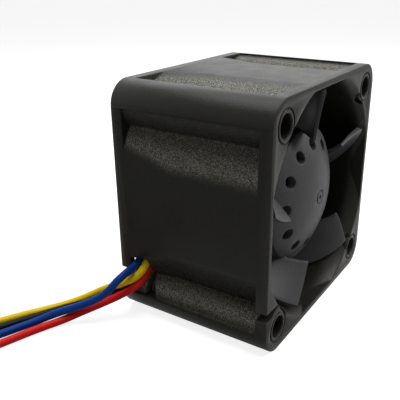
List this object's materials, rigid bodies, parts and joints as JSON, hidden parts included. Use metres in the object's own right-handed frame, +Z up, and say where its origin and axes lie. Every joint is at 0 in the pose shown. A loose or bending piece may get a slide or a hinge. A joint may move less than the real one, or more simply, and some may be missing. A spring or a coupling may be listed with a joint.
{
  "type": "server fan module",
  "caption": "Compact square axial fan for a 1U server, deep black frame with side pockets, domed vented hub, curved blades and four coloured leads in a flat connector.",
  "frame": {"origin": "centre of the foot print of the frame on the surface it stands on, leads left out", "axes": "+Y along the fan axis in the direction of the air flow, from the intake face to the exhaust face; +Z up; +X across"},
  "size_m": [0.0894, 0.0593, 0.04],
  "materials": {
    "housing_plastic": "glass-filled black plastic, spark-eroded texture in the pockets",
    "impeller_plastic": "moulded black plastic with a slight sheen",
    "tube_brass": "turned brass",
    "bearing_steel": "ground steel",
    "lamination": "stacked electrical steel",
    "insulator_plastic": "natural nylon",
    "enamelled_wire": "enamelled copper",
    "board": "green solder mask",
    "chip_plastic": "moulded epoxy",
    "capacitor_body": "ceramic",
    "solder": "solder",
    "lead_yellow": "PVC insulation",
    "lead_blue": "PVC insulation",
    "lead_black": "PVC insulation",
    "lead_red": "PVC insulation",
    "connector_plastic": "natural nylon",
    "contact_metal": "tinned brass",
    "yoke_steel": "drawn steel",
    "magnet": "bonded ferrite"
  },
  "bodies": {
    "frame": {"frame_housing": "housing_plastic", "bearing_tube": "tube_brass", "bearing_cap": "housing_plastic", "front_bearing_outer_ring": "bearing_steel", "rear_bearing_outer_ring": "bearing_steel", "stator_core": "lamination", "front_insulator": "insulator_plastic", "rear_insulator": "insulator_plastic", "stator_coils": "enamelled_wire", "circuit_board": "board", "driver_chip": "chip_plastic", "capacitor": "capacitor_body", "hall_sensor": "chip_plastic", "solder_posts": "solder", "lead_yellow": "lead_yellow", "lead_blue": "lead_blue", "lead_black": "lead_black", "lead_red": "lead_red", "connector_housing": "connector_plastic", "connector_contacts": "contact_metal"},
    "rotor": {"impeller": "impeller_plastic", "shaft_bushing": "tube_brass", "rotor_yoke": "yoke_steel", "magnet_ring": "magnet", "shaft": "bearing_steel", "front_bearing_inner_ring": "bearing_steel", "rear_bearing_inner_ring": "bearing_steel", "preload_washer": "bearing_steel", "retaining_ring": "bearing_steel"},
    "front_ball_set": {"front_bearing_balls": "bearing_steel"},
    "rear_ball_set": {"rear_bearing_balls": "bearing_steel"}
  },
  "joints": [
    {"name": "rotor_spin", "type": "hinge", "parent": "frame", "child": "rotor", "pos_m": [0, 0, 0.02], "axis": [0, -1, 0], "continuous": true},
    {"name": "front_balls_roll", "type": "hinge", "parent": "frame", "child": "front_ball_set", "pos_m": [0, -0.0047, 0.02], "axis": [0, -1, 0], "continuous": true},
    {"name": "rear_balls_roll", "type": "hinge", "parent": "frame", "child": "rear_ball_set", "pos_m": [0, 0.0079, 0.02], "axis": [0, -1, 0], "continuous": true}
  ],
  "couplings": [
    {"joint": "front_balls_roll", "follows": "rotor_spin", "ratio": 0.4},
    {"joint": "rear_balls_roll", "follows": "rotor_spin", "ratio": 0.4}
  ]
}
